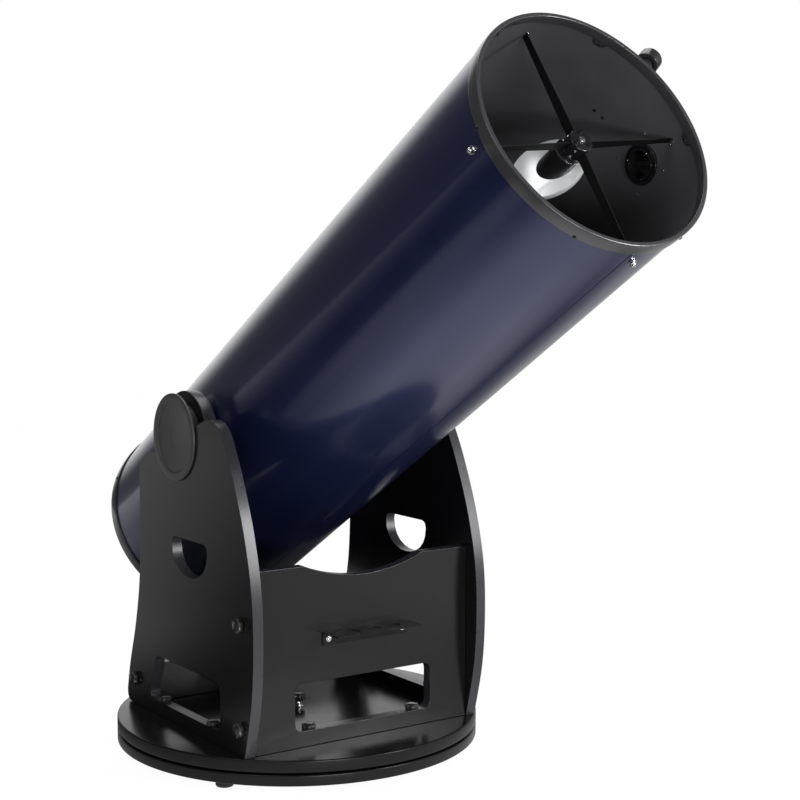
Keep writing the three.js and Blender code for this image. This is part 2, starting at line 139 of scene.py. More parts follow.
class Nodes:
    """Short calls for building one material's nodes."""

    def __init__(self, name):
        self.material = bpy.data.materials.new(name)
        self.material.use_nodes = True
        self.tree = self.material.node_tree
        self.shader = self.tree.nodes["Principled BSDF"]
        self.place = self.add("ShaderNodeTexCoord").outputs["Object"]

    def add(self, kind, **values):
        node = self.tree.nodes.new(kind)
        for key, value in values.items():
            setattr(node, key, value)
        return node

    def link(self, source, target):
        self.tree.links.new(source, target)

    def noise(self, scale, detail=2.0, rough=0.5, stretch=(1, 1, 1)):
        mapping = self.add("ShaderNodeMapping")
        mapping.inputs["Scale"].default_value = stretch
        self.link(self.place, mapping.inputs["Vector"])
        node = self.add("ShaderNodeTexNoise")
        node.inputs["Scale"].default_value = scale
        node.inputs["Detail"].default_value = detail
        node.inputs["Roughness"].default_value = rough
        self.link(mapping.outputs["Vector"], node.inputs["Vector"])
        return node.outputs["Fac"]

    def ramp(self, value, low, high, start=0.3, end=0.7):
        node = self.add("ShaderNodeMapRange")
        node.inputs["From Min"].default_value = start
        node.inputs["From Max"].default_value = end
        node.inputs["To Min"].default_value = low
        node.inputs["To Max"].default_value = high
        self.link(value, node.inputs["Value"])
        return node.outputs["Result"]

    def maths(self, operation, first, second):
        """The result of a sum. Each term is a socket or a float."""
        node = self.add("ShaderNodeMath", operation=operation)
        for term, socket in zip((first, second), node.inputs):
            if isinstance(term, float):
                socket.default_value = term
            else:
                self.link(term, socket)
        return node.outputs["Value"]

    def colour(self, factor, first, second):
        node = self.add("ShaderNodeMix", data_type="RGBA")
        self.link(factor, node.inputs["Factor"])
        node.inputs["A"].default_value = (*first, 1)
        node.inputs["B"].default_value = (*second, 1)
        self.link(node.outputs["Result"], self.shader.inputs["Base Color"])

    def roughness(self, factor, low, high):
        self.link(self.ramp(factor, low, high), self.shader.inputs["Roughness"])

    def bump(self, height, distance, strength=1.0):
        node = self.add("ShaderNodeBump")
        node.inputs["Distance"].default_value = distance
        node.inputs["Strength"].default_value = strength
        self.link(height, node.inputs["Height"])
        self.link(node.outputs["Normal"], self.shader.inputs["Normal"])


# Noise scale, per metre, of a finish's slow colour patches.
PATCHES = 14.0


def surface(name, dark, light, rough, grain, depth, metallic=0.0, coat=0.0, specular=0.5):
    """A finish with slow colour patches, uneven gloss, and a bump with that grain and depth in metres."""
    n = Nodes(name)
    patches = n.noise(PATCHES, 3.0)
    fine = n.noise(1.0 / grain, 2.0, 0.6)
    n.colour(n.ramp(patches, 0.0, 1.0), dark, light)
    n.roughness(n.noise(PATCHES * 2.3, 4.0, 0.6), *rough)
    n.bump(fine, depth)
    n.shader.inputs["Metallic"].default_value = metallic
    n.shader.inputs["Specular IOR Level"].default_value = specular
    n.shader.inputs["Coat Weight"].default_value = coat
    n.shader.inputs["Coat Roughness"].default_value = 0.04
    return n.material


def tube_paint():
    """Deep blue metallic lacquer: fine flakes under a clear coat with a faint orange peel."""
    n = Nodes("tube_paint")
    flakes = n.add("ShaderNodeTexVoronoi", feature="F1")
    flakes.inputs["Scale"].default_value = 1800
    n.link(n.place, flakes.inputs["Vector"])
    sparkle = n.ramp(flakes.outputs["Color"], 0.0, 1.0, 0.55, 0.95)
    n.colour(sparkle, (0.016, 0.023, 0.086), (0.027, 0.038, 0.145))
    n.roughness(n.noise(9.0, 3.0), 0.30, 0.38)
    n.bump(n.noise(160.0, 1.0), 0.00004, 0.25)
    n.shader.inputs["Metallic"].default_value = 0.6
    n.shader.inputs["Coat Weight"].default_value = 0.8
    n.shader.inputs["Coat Roughness"].default_value = 0.11
    return n.material


def brushed(name, colour, rough, stretch=(1, 1, 40)):
    """Metal with fine brushed lines, which run across the axis that has the large stretch."""
    n = Nodes(name)
    lines = n.noise(900.0, 2.0, 0.6, stretch)
    soft = [0.75 * c for c in colour]
    n.colour(n.ramp(lines, 0.0, 1.0), soft, colour)
    n.roughness(lines, *rough)
    n.bump(lines, 0.00002, 0.3)
    n.shader.inputs["Metallic"].default_value = 1.0
    return n.material


def mirror_face():
    """Aluminised glass with a trace of dust."""
    n = Nodes("mirror_face")
    dust = n.ramp(n.noise(2200.0, 2.0, 0.7), 0.0, 1.0, 0.62, 0.8)
    n.colour(dust, (0.93, 0.94, 0.95), (0.7, 0.7, 0.7))
    n.roughness(n.noise(40.0, 3.0), 0.015, 0.035)
    n.shader.inputs["Metallic"].default_value = 1.0
    return n.material


def ground_glass():
    """The back of the secondary: fine-ground and polished until it gives a blurred reflection."""
    n = Nodes("ground_glass")
    n.colour(n.ramp(n.noise(60.0, 3.0), 0.0, 1.0), (0.86, 0.88, 0.9), (0.97, 0.98, 0.98))
    n.roughness(n.noise(900.0, 2.0), 0.13, 0.22)
    n.bump(n.noise(2500.0, 2.0), 0.00001, 0.4)
    n.shader.inputs["Metallic"].default_value = 0.35
    return n.material


def board_finishes():
    return {
        "laminate": surface(
            "black_laminate",
            dark=(0.006, 0.006, 0.0065),
            light=(0.0075, 0.0075, 0.008),
            rough=(0.21, 0.25),
            grain=0.0007,
            depth=0.000005,
            specular=0.41,
        ),
        "edging": surface(
            "edge_banding",
            dark=(0.03, 0.03, 0.035),
            light=(0.033, 0.033, 0.039),
            rough=(0.27, 0.29),
            grain=0.002,
            depth=0.000004,
        ),
        "rim": surface(
            "board_rim",
            dark=(0.0055, 0.0055, 0.006),
            light=(0.0065, 0.0065, 0.007),
            rough=(0.24, 0.27),
            grain=0.002,
            depth=0.000006,
            specular=0.2,
        ),
    }


def metal_finishes():
    return {
        "flocked": surface(
            "flat_black_lining",
            dark=(0.066, 0.066, 0.071),
            light=(0.078, 0.078, 0.084),
            rough=(0.42, 0.52),
            grain=0.0005,
            depth=0.000012,
        ),
        "coated": surface(
            "powder_coat",
            dark=(0.006, 0.006, 0.0065),
            light=(0.01, 0.01, 0.011),
            rough=(0.28, 0.38),
            grain=0.0006,
            depth=0.00001,
        ),
        "matt": surface(
            "matt_black_paint",
            dark=(0.004, 0.004, 0.0045),
            light=(0.006, 0.006, 0.0065),
            rough=(0.5, 0.6),
            grain=0.0006,
            depth=0.00001,
            specular=0.2,
        ),
        "anodised": surface(
            "black_anodising",
            dark=(0.014, 0.014, 0.016),
            light=(0.022, 0.022, 0.025),
            rough=(0.1, 0.16),
            grain=0.001,
            depth=0.000003,
            metallic=0.5,
            coat=0.5,
        ),
        "ring": surface(
            "ring_enamel",
            dark=(0.058, 0.058, 0.062),
            light=(0.066, 0.066, 0.07),
            rough=(0.23, 0.27),
            grain=0.002,
            depth=0.000006,
            metallic=0.3,
            coat=0.6,
        ),
        "chrome": brushed("bright_steel", (0.78, 0.79, 0.8), (0.1, 0.22)),
        "steel": brushed("brushed_steel", (0.6, 0.61, 0.62), (0.25, 0.4), (40, 1, 1)),
    }


def plastic_finishes():
    return {
        "plastic": surface(
            "moulded_plastic",
            dark=(0.022, 0.022, 0.023),
            light=(0.03, 0.03, 0.031),
            rough=(0.14, 0.22),
            grain=0.0004,
            depth=0.000006,
        ),
        "dish": surface(
            "bearing_cap",
            dark=(0.058, 0.058, 0.059),
            light=(0.068, 0.068, 0.069),
            rough=(0.38, 0.44),
            grain=0.0006,
            depth=0.00001,
        ),
        "rubber": surface(
            "foot_rubber",
            dark=(0.012, 0.012, 0.012),
            light=(0.022, 0.022, 0.022),
            rough=(0.75, 0.9),
            grain=0.0009,
            depth=0.00008,
        ),
        "ptfe": surface(
            "bearing_plastic",
            dark=(0.72, 0.72, 0.69),
            light=(0.82, 0.82, 0.79),
            rough=(0.45, 0.6),
            grain=0.0008,
            depth=0.00003,
        ),
    }


def make_materials():
    own = {"paint": tube_paint(), "mirror": mirror_face(), "ground": ground_glass()}
    return {**board_finishes(), **metal_finishes(), **plastic_finishes(), **own}


M = make_materials()


# Meshes. Builders draw into a bmesh in millimetres, and piece() turns it into an object in metres.


def rounded(points, radius, steps=3, closed=True):
    """The outline with its corners rounded. A point may carry its own radius as a third number."""
    out = []
    count = len(points)
    for i, point in enumerate(points):
        p = Vector(point[:2])
        r = point[2] if len(point) > 2 else radius
        end = not closed and i in (0, count - 1)
        before = Vector(points[i - 1][:2]) - p
        after = Vector(points[(i + 1) % count][:2]) - p
        if end or r <= 0 or before.length < 1e-6 or after.length < 1e-6:
            out.append(tuple(p))
            continue
        half = before.angle(after) / 2
        if half > math.radians(88):
            out.append(tuple(p))
            continue
        reach = min(r / math.tan(half), 0.48 * before.length, 0.48 * after.length)
        a = p + before.normalized() * reach
        b = p + after.normalized() * reach
        for step in range(steps + 1):
            t = step / steps
            out.append(tuple(a * (1 - t) ** 2 + p * 2 * t * (1 - t) + b * t * t))
    return out


def skin(bm, first, second, slot):
    """Faces between two rings of vertices. Either may be a single point."""
    n = max(len(first), len(second))
    for i in range(n):
        corners = [first[i % len(first)], first[(i + 1) % len(first)]]
        corners += [second[(i + 1) % len(second)], second[i % len(second)]]
        face = bm.faces.new(list(dict.fromkeys(corners)))
        face.material_index = slot(i) if callable(slot) else slot


def lathe(bm, profile, place=Matrix(), segments=96, wave=None, slots=None):
    """A turned body from (radius, height) points: a closed ring, or open between two points on the axis.
    wave scales a radius by its angle and index. slots gives the material slot of the faces after an index."""
    rings = []
    for k, (r, z) in enumerate(profile):
        if r < 1e-6:
            rings.append([bm.verts.new(place @ Vector((0, 0, z)))])
            continue
        ring = []
        for i in range(segments):
            a = 2 * math.pi * i / segments
            scaled = r * (wave(a, k) if wave else 1.0)
            point = Vector((scaled * math.cos(a), scaled * math.sin(a), z))
            ring.append(bm.verts.new(place @ point))
        rings.append(ring)
    pairs = list(zip(rings, rings[1:]))
    if len(rings[0]) > 1:
        pairs.append((rings[-1], rings[0]))
    for k, (low, high) in enumerate(pairs):
        skin(bm, low, high, slots(k) if slots else 0)


def rim_slots(profile, radius):
    """Slot 1 for the faces of a turned profile that lie outside radius, and slot 0 for the others."""
    outside = [k for k, point in enumerate(profile) if point[0] > radius]
    return lambda k: 1 if k in outside and k + 1 in outside else 0


def prism(bm, outline, low, high, edge, place=Matrix()):
    """An upright body with that outline in X and Y, its top and bottom edges rounded by edge."""
    centre = Vector((sum(p[0] for p in outline), sum(p[1] for p in outline))) / len(outline)
    levels = [(low, edge), (low + edge * 0.3, edge * 0.3), (low + edge, 0), (high - edge, 0)]
    levels += [(high - edge * 0.3, edge * 0.3), (high, edge)]
    rings = []
    for z, inset in levels:
        ring = []
        for x, y in outline:
            radial = Vector((x, y)) - centre
            q = centre + radial * (1 - inset / max(radial.length, inset + 1e-6))
            ring.append(bm.verts.new(place @ Vector((q.x, q.y, z))))
        rings.append(ring)
    for first, second in zip(rings, rings[1:]):
        skin(bm, first, second, 0)
    for ring in (rings[0], rings[-1]):
        bm.faces.new(ring)


def circle(radius, count):
    angles = [2 * math.pi * i / count for i in range(count)]
    return [(radius * math.cos(a), radius * math.sin(a)) for a in angles]


def transform(bm, place):
    bmesh.ops.transform(bm, matrix=place, verts=bm.verts)


def shade(mesh, sharp=32):
    mesh.shade_smooth()
    mesh.set_sharp_from_angle(angle=math.radians(sharp))


def piece(name, bm, body, materials, replaces=(), sharp=32):
    transform(bm, MM)
    bmesh.ops.recalc_face_normals(bm, faces=bm.faces)
    mesh = bpy.data.meshes.new(name)
    bm.to_mesh(mesh)
    bm.free()
    shade(mesh, sharp)
    obj = bpy.data.objects.new(name, mesh)
    bpy.context.scene.collection.objects.link(obj)
    for key in materials:
        mesh.materials.append(M[key])
    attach(obj, body)
    if replaces:
        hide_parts(*replaces)
    return obj


def refined(node, materials, edge, pick=None, steps=2):
    """A CAD node's own shape with rounded edges. pick gives a face's material from its normal and centre."""
    source = frame["nodes"][node]
    bm = bmesh.new()
    bm.from_mesh(source.data)
    bmesh.ops.remove_doubles(bm, verts=bm.verts, dist=2e-6)
    bmesh.ops.dissolve_limit(bm, angle_limit=math.radians(0.5), verts=bm.verts, edges=bm.edges)
    for face in bm.faces:
        face.material_index = pick(face.normal, face.calc_center_median() * 1000) if pick else 0
    sharp = [e for e in bm.edges if e.is_manifold and e.calc_face_angle() > math.radians(40)]
    bmesh.ops.bevel(
        bm,
        geom=sharp,
        offset=edge,
        segments=steps,
        profile=0.5,
        affect="EDGES",
        clamp_overlap=True,
    )
    transform(bm, MM.inverted())
    body = source["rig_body"]
    obj = piece(f"{node}_finished", bm, body, materials, [node], 48)
    weighted = obj.modifiers.new("flat_faces", "WEIGHTED_NORMAL")
    weighted.keep_sharp = True
    return obj


def dress(node, key):
    """Gives a CAD node that stays its finish."""
    for entry in frame["nodes"][node].material_slots:
        entry.material = M[key]


def carve(obj, cutter_bm):
    """Cuts the closed mesh in cutter_bm, in millimetres, out of obj."""
    transform(cutter_bm, MM)
    bmesh.ops.recalc_face_normals(cutter_bm, faces=cutter_bm.faces)
    mesh = bpy.data.meshes.new("cutter")
    cutter_bm.to_mesh(mesh)
    cutter_bm.free()
    cutter = bpy.data.objects.new("cutter", mesh)
    bpy.context.scene.collection.objects.link(cutter)
    cut = obj.modifiers.new("cut", "BOOLEAN")
    cut.operation = "DIFFERENCE"
    cut.solver = "EXACT"
    cut.object = cutter
    graph = bpy.context.evaluated_depsgraph_get()
    carved = bpy.data.meshes.new_from_object(obj.evaluated_get(graph))
    obj.modifiers.remove(cut)
    obj.data = carved
    shade(carved)
    bpy.data.objects.remove(cutter)


# Small hardware, drawn at a place whose +Z is outward.


# How far a screw head's foot reaches below the surface that it sits on.
SUNK = 0.6


def pan_head(bm, place, radius, height):
    """A domed screw head with a round recess."""
    profile = [(0, -SUNK), (radius, -SUNK), (radius, height * 0.35), (radius * 0.8, height * 0.8)]
    profile += [(radius * 0.45, height), (radius * 0.3, height)]
    profile += [(radius * 0.28, height * 0.5), (0, height * 0.5)]
    lathe(bm, profile, place, 20)


def socket_head(bm, place, radius, height):
    """A cylinder-head screw with a round recess for its key."""
    head = [(0, -SUNK), (radius, -SUNK), (radius, height), (radius * 0.6, height)]
    recess = [(radius * 0.55, height * 0.4), (0, height * 0.4)]
    lathe(bm, rounded(head, radius * 0.12, 2, False) + recess, place, 24)


def acorn_nut(bm, place, radius):
    """A washer, a six-sided nut and a domed end."""
    washer = [(0, 0), (radius * 1.3, 0), (radius * 1.3, 1.6), (0, 1.6)]
    lathe(bm, rounded(washer, 0.5, 2, False), place, 32)
    prism(bm, rounded(circle(radius, 6), 0.6, 2), 1.6, 6.4, 0.5, place)
    foot = 6.3
    dome = [(0, foot)]
    for angle in (0, 0.4, 0.8, 1.2):
        dome.append((radius * 0.72 * math.cos(angle), foot + radius * 0.62 * math.sin(angle)))
    dome.append((0, foot + radius * 0.62))
    lathe(bm, dome, place, 24)


def lobed_grip(bm, place, radius, low, high, lobes=6):
    """A hand knob's grip with soft lobes, and a flat cap in a groove on its top."""
    height = high - low
    profile = [(0, low), (radius * 0.86, low), (radius * 0.97, low + height * 0.14)]
    profile += [(radius, low + height * 0.35), (radius, low + height * 0.7)]
    profile += [(radius * 0.94, low + height * 0.86), (radius * 0.82, high - 0.6)]
    lobed = len(profile)
    profile += [(radius * 0.7, high - 0.4), (radius * 0.66, high - 1.6), (radius * 0.62, high - 1.6)]
    profile += [(radius * 0.62, high - 0.4), (radius * 0.57, high), (0, high)]

    def wave(angle, k):
        return 0.925 + 0.075 * math.cos(lobes * angle) if k < lobed else 1.0

    lathe(bm, profile, place, lobes * 12, wave)


def ribbed(bm, place, profile, ribs=36, depth=0.035, grip=()):
    """A turned knob whose grip rings, named by index, carry fine ribs."""
    def wave(angle, k):
        return 1 - depth * (0.5 - 0.5 * math.cos(ribs * angle)) if k in grip else 1.0

    lathe(bm, profile, place, ribs * 6, wave)


# Ground board, feet, azimuth bearing and rocker box.


def disc(name, node, low, high, body):
    """A round board, with its rounded rim in a finish of its own."""
    edge = 3.2
    corners = [(PIVOT_BORE_R, low, 0), (DISC_R, low, edge), (DISC_R, high, edge), (PIVOT_BORE_R, high, 0)]
    profile = rounded(corners, 0, 5)
    bm = bmesh.new()
    lathe(bm, profile, segments=SMOOTH, slots=rim_slots(profile, DISC_R - edge - 0.2))
    piece(name, bm, body, ["laminate", "rim"], [node], 50)


def make_feet():
    profile = [(0, FLOOR_Z), (15, FLOOR_Z), (17.2, -11.6), (18.6, -9), (19, -6.4), (18, -6), (18, -4.6)]
    profile += [(19, -4.2), (19, -0.3), (0, -0.3)]
    for i in range(3):
        angle = math.radians(FIRST_FOOT_TURN + 120 * i)
        bm = bmesh.new()
        place = at(FOOT_CIRCLE_R * math.cos(angle), FOOT_CIRCLE_R * math.sin(angle), 0)
        lathe(bm, profile, place, 48)
        piece(f"foot_{i + 1}_turned", bm, "ground", ["rubber"], [f"foot_{i + 1}"])


def make_azimuth_bearing():
    for node in ("azimuth_lower_race", "azimuth_upper_race"):
        dress(node, "steel")
    dress("azimuth_roller_cage", "ptfe")
    bm = bmesh.new()
    bolt = [(0, 0), (17, 0, 0.8), (17, 7, 0.8), (6, 7), (6, 67.7, 0.5), (0, 67.7)]
    washer = [(6.1, 53.8), (12, 53.8), (12, 55.8), (6.1, 55.8)]
    lathe(bm, rounded(bolt, 0.4, 2, False), segments=40)
    lathe(bm, rounded(washer, 0.4, 2), segments=32)
    prism(bm, rounded(circle(10, 6), 0.8, 2), 55.9, 62.5, 0.6)
    piece("pivot_bolt_turned", bm, "ground", ["chrome"], ["pivot_bolt"])
    bm = bmesh.new()
    lobed_grip(bm, Matrix(), 17.5, 68, 84, 7)
    piece("pivot_knob_lobed", bm, "clamp_knob", ["plastic"], ["pivot_knob"], 40)


def make_boards():
    def board_face(axis):
        """Slot 0 on the faces across that axis, and slot 1 on the banded edges."""
        return lambda normal, centre: 0 if abs(normal[axis]) > 0.9 else 1

    for side in ("left", "right"):
        refined(f"side_board_{side}", ["laminate", "edging"], 0.0018, board_face(0), 3)
    refined("front_board", ["laminate", "edging"], 0.0012, board_face(1))
    refined("rear_cross_board", ["laminate", "edging"], 0.0012, board_face(1))


def make_hand_knobs():
    for side, sign in SIDES:
        for i, (y, z) in enumerate(SIDE_KNOBS):
            bm = bmesh.new()
            lobed_grip(bm, sideways(sign, y, z, BOX_HALF_W + 0.3), HAND_KNOB_R, 0, 13)
            node = f"side_knob_{side}_{i + 1}"
            piece(f"{node}_lobed", bm, "rocker", ["plastic"], [node], 40)
    for i in range(6):
        low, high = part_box(f"base_knob_{i + 1}")
        middle = (Vector(low) + Vector(high)) * 500
        bm = bmesh.new()
        lobed_grip(bm, at(middle.x, middle.y, low.z * 1000), HAND_KNOB_R, 0, 11)
        node = f"base_knob_{i + 1}"
        piece(f"{node}_lobed", bm, "rocker", ["plastic"], [node], 40)


def make_rack():
    refined("eyepiece_rack", ["matt"], 0.0007)
    washer = [(0, -0.2), (6.2, -0.2), (6.2, 1.1), (0, 1.1)]
    bm = bmesh.new()
    for x in (-90, 94):
        place = at(x, -273.9, 273) @ Z_TO_MINUS_Y
        lathe(bm, rounded(washer, 0.4, 2, False), place, 32)
        pan_head(bm, place @ at(0, 0, 1.3), 4.4, 3.0)
    piece("rack_screws", bm, "rocker", ["chrome"])


# Altitude bearings.


def make_trunnions():
    """Each bearing is a drum with a dished flange outside the board, and a thick plate inside it."""
    flange = BOX_HALF_W + 0.4
    cap = [(0, BOARD_INNER_X), (70, BOARD_INNER_X, 0.8), (70, flange, 0), (93, flange, 1.2)]
    cap += [(93, flange + 5, 2.0), (77, flange + 5, 1.6), (74, flange + 2, 1.2), (24, flange + 2)]
    cap += [(23, flange + 1.2), (0, flange + 1.2)]
    plate = rounded([(0, 237.0), (97, 237.0, 2), (97, 264.9, 2), (0, 264.9)], 0, 4, False)
    for side, sign in SIDES:
        place = TUBE @ Matrix.Rotation(sign * math.pi / 2, 4, "Y")
        bm = bmesh.new()
        lathe(bm, rounded(cap, 0.4, 3, False), place, 192)
        node = f"trunnion_{side}"
        piece(f"{node}_turned", bm, "tube", ["dish"], [node], 40)
        bm = bmesh.new()
        lathe(bm, plate, place, 192, slots=rim_slots(plate, 94))
        node = f"trunnion_plate_{side}"
        piece(f"{node}_turned", bm, "tube", ["laminate", "edging"], [node], 40)
        refined(f"trunnion_saddle_{side}", ["coated"], 0.0008)
        for i in (1, 2):
            dress(f"cradle_pad_{side}_{i}", "ptfe")


# Optical tube with its rings.


def make_tube():
    bm = bmesh.new()
    stations = [TUBE_REAR, FOCUSER_S - 60, FOCUSER_S + 60, TUBE_FRONT]
    profile = [(TUBE_R, s) for s in stations] + [(TUBE_BORE_R, s) for s in reversed(stations)]
    lathe(bm, profile, TUBE, SMOOTH, slots=lambda k: 0 if k < 3 else 1)
    tube = piece("optical_tube_rolled", bm, "tube", ["paint", "flocked"], ["optical_tube"])
    hole = bmesh.new()
    drill = [(0, -30), (FOCUSER_HOLE_R, -30), (FOCUSER_HOLE_R, 30), (0, 30)]
    lathe(hole, drill, outward(FOCUSER_TURN, FOCUSER_S, TUBE_R), 72)
    carve(tube, hole)


def make_seam():
    """The low lap joint along the tube, between its two rings."""
    lap = [(-4.5, 0), (-4.2, 0.9), (4.2, 0.9), (4.5, 0)]
    bm = bmesh.new()
    rows = []
    for s in (TUBE_REAR + RING_LENGTH, TUBE_FRONT - RING_LENGTH - 0.5):
        place = bay(SEAM_TURN, s, TUBE_R - 0.1)
        rows.append([bm.verts.new(place @ Vector((x, y, 0))) for x, y in lap])
    skin(bm, rows[0], rows[1], 0)
    for row in rows:
        bm.faces.new(row)
    piece("tube_seam", bm, "tube", ["paint"])


def make_front_ring():
    edge = TUBE_FRONT + 0.3
    inner = TUBE_BORE_R - 3.5
    seat = TUBE_R + 0.3
    profile = [(inner, edge - 15.5, 0.8), (inner + 3, edge - 15.5, 0.8), (inner + 3, edge, 0)]
    profile += [(seat, edge, 0), (seat, edge - RING_LENGTH), (RING_OUT_R, edge - RING_LENGTH, 1.4)]
    profile += [(RING_OUT_R, edge + 2.2, 2.0), (inner, edge + 2.2, 1.4)]
    bm = bmesh.new()
    lathe(bm, rounded(profile, 0.3, 4), TUBE, SMOOTH)
    tab = rounded([(-17, -14.5, 0), (-9, -26.5, 3.5), (9, -26.5, 3.5), (17, -14.5, 0)], 0, 4)
    turns = [30 + 60 * i for i in range(RING_SCREWS)]
    for turn in turns:
        prism(bm, tab, 0, 2.2, 0.3, bay(turn, edge, inner + 2.4) @ Z_TO_MINUS_Y)
    piece("front_ring_rolled", bm, "tube", ["ring"], ["front_ring"], 40)
    bm = bmesh.new()
    for turn in turns:
        pan_head(bm, outward(turn, 1139, RING_OUT_R), 3.4, 2.0)
        pan_head(bm, outward(turn, 1139, inner) @ FLIP, 2.6, 1.6)
    piece("front_ring_screws", bm, "tube", ["anodised"])


def make_rear_ring():
    edge = TUBE_REAR - 0.3
    inner = TUBE_R - 12
    seat = TUBE_R + 0.3
    profile = [(inner, edge - 2.2, 0.8), (RING_OUT_R, edge - 2.2, 2.0), (RING_OUT_R, edge + RING_LENGTH, 1.4)]
    profile += [(seat, edge + RING_LENGTH), (seat, edge), (inner, edge, 0.8)]
    bm = bmesh.new()
    lathe(bm, rounded(profile, 0.3, 4), TUBE, SMOOTH)
    piece("rear_ring_rolled", bm, "tube", ["ring"], ["rear_ring"], 40)
    bm = bmesh.new()
    for i in range(RING_SCREWS):
        pan_head(bm, outward(60 * i, -482, RING_OUT_R), 3.4, 2.0)
    piece("rear_ring_screws", bm, "tube", ["anodised"])


# Primary mirror and its cell.


def make_primary():
    """The mirror's top is a shallow dish, on a back and sides of ground glass."""
    back = -446.0
    top = back + 38
    rim = 202
    sag = 5.6
    steps = 12
    profile = [(0, back), (201, back), (203, back + 2), (203, top - 1.2), (rim, top)]
    for k in range(1, steps):
        part = 1 - k / steps
        profile.append((rim * part, top - sag * (1 - part * part)))
    profile.append((0, top - sag))
    bm = bmesh.new()
    lathe(bm, profile, TUBE, 144, slots=lambda k: 1 if k < 3 else 0)
    piece("primary_mirror_ground", bm, "tube", ["mirror", "ground"], ["primary_mirror"])


def make_cell():
    refined("mirror_cell", ["coated"], 0.001)
    boss = rounded([(0, 0), (9.3, 0), (9.3, 8.4), (0, 8.4)], 0.8, 2, False)
    for i in range(3):
        node = f"collimation_knob_{i + 1}"
        turn = Matrix.Rotation(math.radians(120 * i), 4, "Z")
        place = TUBE @ turn @ at(0, 172, -480.3) @ FLIP
        bm = bmesh.new()
        lathe(bm, boss, place, 32)
        lobed_grip(bm, place, 17, 8, 22)
        piece(f"{node}_lobed", bm, f"collimator_{i + 1}", ["plastic"], [node], 40)
    bm = bmesh.new()
    for i in range(3):
        turn = TUBE @ Matrix.Rotation(math.radians(120 * i + 14), 4, "Z")
        socket_head(bm, turn @ at(0, 150, -480) @ FLIP, 5.5, 6)
        socket_head(bm, turn @ at(0, 221, -480) @ FLIP, 4, 4)
    piece("cell_screws", bm, "tube", ["steel"])


# Spider, secondary holder and secondary mirror.


def make_spider():
    for i in range(4):
        refined(f"spider_vane_{i + 1}", ["matt"], 0.0003)
    bm = bmesh.new()
    profile = [(0, 1092), (HUB_R, 1092, 0.8), (HUB_R, HUB_FACE_S, 1.6), (0, HUB_FACE_S)]
    lathe(bm, rounded(profile, 0, 4, False), TUBE, 96)
    piece("spider_hub_turned", bm, "tube", ["anodised"], ["spider_hub"])


def make_hub_hardware():
    """The centre bolt, the collimation screws, and the screws and nuts that hold the vanes."""
    face = TUBE @ at(0, 0, HUB_FACE_S)
    bm = bmesh.new()
    lathe(bm, rounded([(0, 0), (5.8, 0), (5.8, 3.6), (0, 3.6)], 1.2, 3, False), face, 32)
    for i in range(4):
        for s in (1098, 1112):
            pan_head(bm, outward(SPIDER_TURN + 45 + 90 * i, s, HUB_R - 0.1), 2.2, 1.5)
    piece("hub_bolt", bm, "tube", ["chrome"])
    bm = bmesh.new()
    for i in range(3):
        turn = Matrix.Rotation(math.radians(-8 + 120 * i), 4, "Z")
        socket_head(bm, face @ turn @ at(0, 15.5, 0), 3.6, 3.2)
    piece("hub_screws", bm, "tube", ["anodised"])
    bm = bmesh.new()
    for i in range(4):
        turn = SPIDER_TURN + 90 * i
        acorn_nut(bm, outward(turn, SPIDER_S, TUBE_R), 6.4)
        for ds in (-4, 4):
            pan_head(bm, outward(turn + 1.3, SPIDER_S + ds, TUBE_BORE_R) @ FLIP, 1.8, 1.4)
    piece("spider_nuts", bm, "tube", ["chrome"])


def make_secondary():
    place = bay(FOCUSER_TURN, 1026.2, -4.6) @ Matrix.Rotation(math.pi / 4, 4, "X")
    place = place @ Matrix.Diagonal((1, math.sqrt(2), 1, 1))
    bm = bmesh.new()
    profile = rounded([(0, 0), (48.4, 0, 0.5), (48.4, 16, 0.9), (0, 16)], 0, 3, False)
    lathe(bm, profile, place, 144, slots=lambda k: 0 if k == 0 else 1)
    piece("secondary_mirror_ground", bm, "tube", ["mirror", "ground"], ["secondary_mirror"])
    refined("secondary_holder", ["coated"], 0.0006)
    bm = bmesh.new()
    ring = [(24.4, 1085.4), (26.2, 1085.4), (26.2, 1088.2), (24.4, 1088.2)]
    lathe(bm, rounded(ring, 0.5, 2), bay(FOCUSER_TURN, 0, -4), 96)
    piece("holder_ring", bm, "tube", ["chrome"])


# Focuser, finder shoe and guide knob.


def trim_ring(bm, inner, outer, front, place):
    """A ring on the tube's inside wall round the focuser hole. Its back follows the wall."""
    segments = 96
    rings = []
    for radius, back in ((inner, True), (inner, False), (outer, False), (outer, True)):
        ring = []
        for i in range(segments):
            a = 2 * math.pi * i / segments
            wall = math.sqrt(TUBE_BORE_R ** 2 - (radius * math.cos(a)) ** 2) + 0.3
            height = wall if back else front
            point = Vector((radius * math.cos(a), height, radius * math.sin(a)))
            ring.append(bm.verts.new(place @ point))
        rings.append(ring)
    for first, second in zip(rings, rings[1:] + rings[:1]):
        skin(bm, first, second, 0)


def make_drawtube():
    profile = [(25.7, 221, 0.8), (30, 221, 1.2), (30, 312, 0), (34, 312, 0.8), (34, 316, 0.3), (33, 317, 0.2)]
    profile += [(33, 329, 0.2), (34, 330, 0.3), (34, 334, 1.2), (25.7, 334, 0.9)]
    bm = bmesh.new()
    lathe(bm, rounded(profile, 0.3, 3), outward(FOCUSER_TURN, FOCUSER_S, 0), 128)
    piece("focuser_drawtube_turned", bm, "drawtube", ["anodised"], ["focuser_drawtube"])
    bm = bmesh.new()
    for turn in (20, 140, 260):
        lip = bay(FOCUSER_TURN, FOCUSER_S) @ Matrix.Rotation(math.radians(turn), 4, "Y")
        pan_head(bm, lip @ at(27.9, 221.2, 0) @ Z_TO_MINUS_Y, 1.9, 1.6)
    piece("drawtube_screws", bm, "drawtube", ["chrome"])


